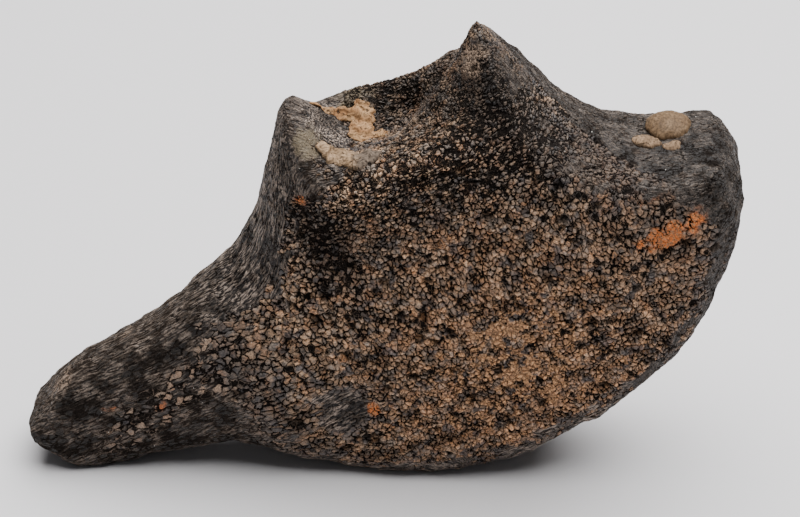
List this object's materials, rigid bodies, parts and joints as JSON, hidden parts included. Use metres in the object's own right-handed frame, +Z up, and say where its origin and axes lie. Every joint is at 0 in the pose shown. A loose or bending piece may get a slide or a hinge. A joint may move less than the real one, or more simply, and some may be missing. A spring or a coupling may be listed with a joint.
{
  "type": "whale vertebra",
  "caption": "Worn, dark vertebra of a small baleen whale, with its arch and right process broken off, lying on its underside.",
  "frame": {"origin": "middle of the floor area that the resting bone covers, at floor level", "axes": "+X towards the broken right process, +Y from the front face to the back face, +Z up from the floor"},
  "size_m": [0.251, 0.0542, 0.1793],
  "materials": {
    "bone": "rough",
    "shell": "satin",
    "crust": "rough"
  },
  "bodies": {
    "root": {"vertebra": "bone", "shell_disc": "shell", "shell_fragment_left": "shell", "shell_fragment_right": "shell", "canal_crust_upper": "crust", "canal_crust_lower": "crust"}
  },
  "joints": []
}
